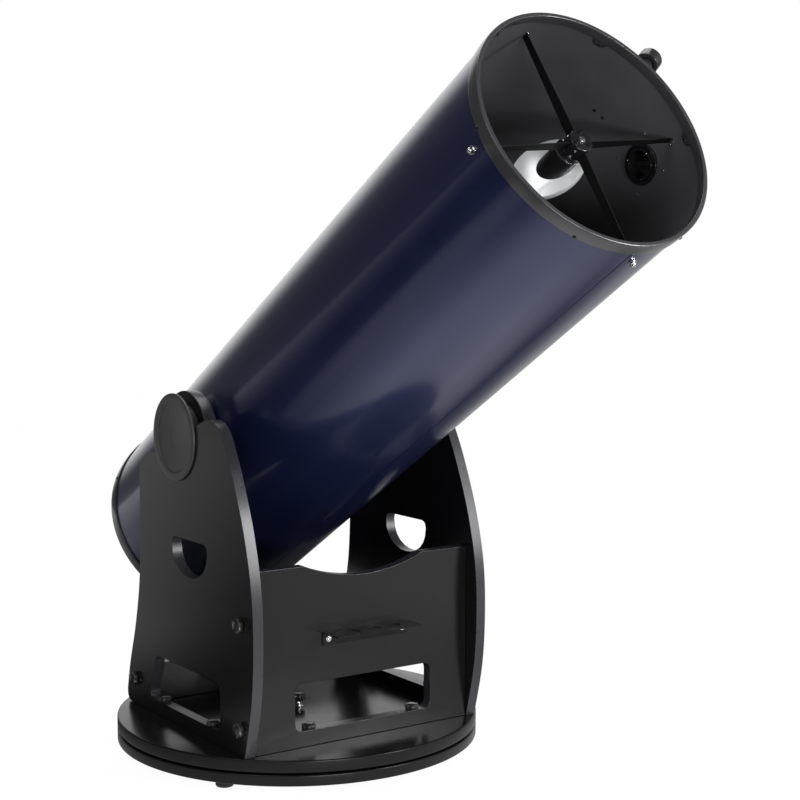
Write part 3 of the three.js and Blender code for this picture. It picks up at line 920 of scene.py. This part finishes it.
def make_trim_ring():
    bm = bmesh.new()
    trim_ring(bm, 31, 38.5, 225.5, bay(FOCUSER_TURN, FOCUSER_S))
    trim = piece("focuser_trim_ring", bm, "tube", ["anodised"])
    soften = trim.modifiers.new("soften", "BEVEL")
    soften.width = 0.0009
    soften.segments = 3


def make_focus_knobs():
    """Two ribbed knobs, one on each end of the pinion's axle."""
    axle = bay(FOCUSER_TURN) @ at(34.4, 268, FOCUSER_S)
    wheel = [(0, 42), (15, 42), (17, 43), (18.6, 44.5), (19, 45.5), (19, 58.5), (18.6, 59.5)]
    wheel += [(17, 61), (14, 62), (13, 60.8), (0, 60.8)]
    bm = bmesh.new()
    lathe(bm, [(0, -45), (4, -45), (4, 45), (0, 45)], axle, 24)
    for end in (Matrix(), FLIP):
        ribbed(bm, axle @ end, wheel, 40, 0.04, (4, 5))
    piece("focus_knobs_ribbed", bm, "focus_shaft", ["plastic"], ["focus_knobs"], 40)


def make_eyepiece_screw():
    place = bay(FOCUSER_TURN) @ at(-34.3, 323, FOCUSER_S) @ Matrix.Rotation(-math.pi / 2, 4, "Y")
    thumb = [(0, 0), (2.5, 0), (2.5, 4), (6.2, 4), (7, 4.8), (7, 11.2), (6.2, 12), (0, 12)]
    bm = bmesh.new()
    ribbed(bm, place, thumb, 24, 0.08, (4, 5))
    piece("eyepiece_screw_knurled", bm, "eyepiece_clamp", ["chrome"], ["eyepiece_screw"])


def make_focuser_screws():
    """Four screws at the corners of the focuser's foot, and their heads on the tube's inside wall."""
    corner = 40
    bm = bmesh.new()
    for x in (-corner, corner):
        for z in (-corner, corner):
            outside = bay(FOCUSER_TURN) @ at(x, 245.6, FOCUSER_S + z) @ Z_TO_Y
            socket_head(bm, outside, 3.6, 3)
            turn = FOCUSER_TURN + math.degrees(math.asin(x / TUBE_BORE_R))
            pan_head(bm, outward(turn, FOCUSER_S + z, TUBE_BORE_R) @ FLIP, 3.0, 2.2)
    piece("focuser_screws", bm, "tube", ["chrome"])


def make_focuser():
    refined("focuser_body", ["coated"], 0.0016, steps=3)
    make_drawtube()
    make_trim_ring()
    make_focus_knobs()
    make_eyepiece_screw()
    make_focuser_screws()


def make_finder_shoe():
    refined("finder_shoe", ["anodised"], 0.0007)
    bm = bmesh.new()
    screw = bay(FINDER_TURN) @ at(24.3, TUBE_R + 13.3, FINDER_S) @ Matrix.Rotation(math.pi / 2, 4, "Y")
    thumb = [(0, 0), (2.5, 0), (2.5, 4), (6.6, 4), (7.5, 4.9), (7.5, 14.1), (6.6, 15), (0, 15)]
    ribbed(bm, screw, thumb, 24, 0.08, (4, 5))
    piece("finder_screw_knurled", bm, "finder_clamp", ["chrome"], ["finder_screw"])
    bm = bmesh.new()
    for turn in (-2.5, 2.5):
        pan_head(bm, outward(FINDER_TURN + turn, FINDER_S, TUBE_BORE_R) @ FLIP, 3.0, 2.4)
    piece("finder_shoe_nuts", bm, "tube", ["anodised"])


def make_guide_knob():
    """A stalk with a washer and a broad round grip."""
    low = TUBE_R + 0.4
    profile = [(0, low), (11, low, 0.6), (8, low + 8, 2), (8, 278, 1), (12, 283, 1), (12, 288, 0.4)]
    profile += [(15, 288, 0.4), (15, 284, 0.6), (22, 284, 1.2), (22, 307, 2.5), (18, 313, 2.5)]
    profile += [(16.5, 313.2, 0.3), (16, 312.4, 0.3), (0, 315)]
    bm = bmesh.new()
    lathe(bm, rounded(profile, 0.5, 4, False), outward(FINDER_TURN, GUIDE_KNOB_S, 0), 96)
    piece("guide_knob_turned", bm, "tube", ["plastic"], ["guide_knob"], 40)


# Camera, light and floor.


# The camera's azimuth, elevation and roll in degrees, its place in metres, and its lens in millimetres.
CAMERA_TURNS = (-34.724, 5.137, 0.042)
CAMERA_PLACE = (-1.8525, -3.0742, 1.0641)
CAMERA_LENS = 73.45

# Bright parts of the room in reflections: direction, cosines where the glow starts and is full, and strength.
ROOM_GLOWS = [((0.6, 0.8, 0.1), 0.74, 0.95, 1.15), ((0.8, -0.6, 0.1), 0.75, 0.98, 0.7)]
ROOM_GREY = 0.10

# Floor pools seen in reflections only: centre in metres, strength, radius of full light, and outer radius.
FLOOR_POOLS = [
    ((-0.15, -0.55, 0), 0.9, 0.35, 0.95),
    ((1.1, -1.7, 0), 0.6, 0.5, 1.3),
    ((-1.25, -0.05, 0), 0.4, 0.3, 0.65),
]


def make_camera():
    azimuth, elevation, roll = (math.radians(turn) for turn in CAMERA_TURNS)
    flat = math.cos(elevation)
    back = Vector((math.sin(azimuth) * flat, -math.cos(azimuth) * flat, math.sin(elevation)))
    level = Vector((0, 0, 1)).cross(back).normalized()
    upright = back.cross(level)
    right = math.cos(roll) * level + math.sin(roll) * upright
    up = math.cos(roll) * upright - math.sin(roll) * level
    camera = bpy.data.objects.new("camera", bpy.data.cameras.new("camera"))
    bpy.context.scene.collection.objects.link(camera)
    facing = Matrix((right, up, back)).transposed().to_4x4()
    camera.matrix_world = Matrix.Translation(CAMERA_PLACE) @ facing
    camera.data.sensor_width = 36
    camera.data.lens = CAMERA_LENS
    bpy.context.scene.camera = camera


def softbox(name, toward, distance, size, power):
    """An area light in that direction from the object's middle, facing it."""
    target = Vector((0, -0.25, 0.75))
    direction = Vector(toward).normalized()
    light = bpy.data.lights.new(name, "AREA")
    light.shape = "RECTANGLE"
    light.size, light.size_y = size
    light.energy = power
    obj = bpy.data.objects.new(name, light)
    bpy.context.scene.collection.objects.link(obj)
    obj.location = target + direction * distance
    obj.rotation_euler = direction.to_track_quat("Z", "Y").to_euler()


def make_world():
    """White to the camera. Light and reflections come from a grey room, bright behind and on the right."""
    world = bpy.data.worlds.new("studio")
    bpy.context.scene.world = world
    world.use_nodes = True
    tree = world.node_tree
    tree.nodes.clear()
    direction = tree.nodes.new("ShaderNodeTexCoord").outputs["Generated"]
    total = None
    for toward, start, end, strength in ROOM_GLOWS:
        dot = tree.nodes.new("ShaderNodeVectorMath")
        dot.operation = "DOT_PRODUCT"
        dot.inputs[1].default_value = Vector(toward).normalized()
        tree.links.new(direction, dot.inputs[0])
        glow = tree.nodes.new("ShaderNodeMapRange")
        glow.interpolation_type = "SMOOTHSTEP"
        glow.inputs["From Min"].default_value = start
        glow.inputs["From Max"].default_value = end
        glow.inputs["To Min"].default_value = 0
        glow.inputs["To Max"].default_value = strength
        tree.links.new(dot.outputs["Value"], glow.inputs["Value"])
        add = tree.nodes.new("ShaderNodeMath")
        add.operation = "ADD"
        tree.links.new(glow.outputs["Result"], add.inputs[0])
        if total is None:
            add.inputs[1].default_value = ROOM_GREY
        else:
            tree.links.new(total, add.inputs[1])
        total = add.outputs["Value"]
    room = tree.nodes.new("ShaderNodeBackground")
    tree.links.new(total, room.inputs["Strength"])
    white = tree.nodes.new("ShaderNodeBackground")
    white.inputs["Strength"].default_value = 1.0
    white.inputs["Color"].default_value = (1, 1, 1, 1)
    mix = tree.nodes.new("ShaderNodeMixShader")
    tree.links.new(tree.nodes.new("ShaderNodeLightPath").outputs["Is Camera Ray"], mix.inputs["Fac"])
    tree.links.new(room.outputs["Background"], mix.inputs[1])
    tree.links.new(white.outputs["Background"], mix.inputs[2])
    out = tree.nodes.new("ShaderNodeOutputWorld")
    tree.links.new(mix.outputs["Shader"], out.inputs["Surface"])


# The wedge of floor light spreads backwards from the left side board's foot, this many metres off centre.
WEDGE_POINT = 0.289


def floor_glow(n):
    """How bright the floor is in reflections: a wedge of light behind the object, more light far behind and far
    to the right, and the pools."""
    axes = n.add("ShaderNodeSeparateXYZ")
    n.link(n.place, axes.inputs[0])
    x = axes.outputs["X"]
    y = axes.outputs["Y"]
    slope = n.maths("DIVIDE", n.maths("ADD", x, WEDGE_POINT), y)
    left_edge = n.ramp(slope, 0.0, 0.45, -0.62, -0.42)
    right_edge = n.ramp(slope, 1.0, 0.0, 0.2, 0.7)
    wedge = n.maths("MULTIPLY", left_edge, n.ramp(y, 0.0, 1.0, 0.5, 1.1))
    wedge = n.maths("MULTIPLY", wedge, right_edge)
    total = n.maths("ADD", wedge, n.ramp(y, 0.0, 0.3, 1.5, 5.0))
    total = n.maths("ADD", total, n.ramp(x, 0.0, 0.4, 0.7, 1.7))
    for centre, strength, inner, outer in FLOOR_POOLS:
        near = n.add("ShaderNodeVectorMath", operation="DISTANCE")
        n.link(n.place, near.inputs[0])
        near.inputs[1].default_value = centre
        total = n.maths("ADD", total, n.ramp(near.outputs["Value"], strength, 0.0, inner, outer))
    return total


def make_floor():
    """A broad pale disc just below the feet, in metres. It is near white to the camera."""
    bm = bmesh.new()
    lathe(bm, [(0, 0), (3, 0), (9, 0), (9, -0.02), (0, -0.02)], at(0, 0, FLOOR_Z / 1000 - 0.0005), 96)
    mesh = bpy.data.meshes.new("floor")
    bmesh.ops.recalc_face_normals(bm, faces=bm.faces)
    bm.to_mesh(mesh)
    bm.free()
    floor = bpy.data.objects.new("floor", mesh)
    bpy.context.scene.collection.objects.link(floor)
    n = Nodes("pale_floor")
    n.colour(n.ramp(n.noise(2.0), 0, 1), (0.04, 0.04, 0.04), (0.05, 0.05, 0.05))
    n.shader.inputs["Roughness"].default_value = 0.9
    n.shader.inputs["Specular IOR Level"].default_value = 0.1
    n.shader.inputs["Emission Color"].default_value = (1, 1, 1, 1)
    horizon = floor_glow(n)
    seen = n.add("ShaderNodeMix")
    n.link(n.add("ShaderNodeLightPath").outputs["Is Camera Ray"], seen.inputs["Factor"])
    n.link(horizon, seen.inputs["A"])
    seen.inputs["B"].default_value = 0.97
    n.link(seen.outputs["Result"], n.shader.inputs["Emission Strength"])
    mesh.materials.append(n.material)


def make_studio():
    make_camera()
    make_world()
    make_floor()
    softbox("key_light", (-0.77, -0.41, 0.49), 3.4, (1.8, 1.8), 26)
    softbox("top_light", (0.1, 0.25, 1.0), 3.2, (2.4, 2.4), 50)
    softbox("right_light", (0.52, -0.80, 0.31), 5.0, (0.8, 2.2), 150)
    softbox("front_light", (-0.2, -0.97, -0.09), 5.2, (2.4, 0.8), 150)
    bpy.context.scene.view_settings.view_transform = "Standard"


disc("ground_board_turned", "ground_board", 0, GROUND_TOP_Z, "ground")
disc("base_board_turned", "base_board", BASE_LOW_Z, BASE_TOP_Z, "rocker")
make_feet()
make_azimuth_bearing()
make_boards()
make_hand_knobs()
make_rack()
make_trunnions()
make_tube()
make_seam()
make_front_ring()
make_rear_ring()
make_primary()
make_cell()
make_spider()
make_hub_hardware()
make_secondary()
make_focuser()
make_finder_shoe()
make_guide_knob()
make_studio()
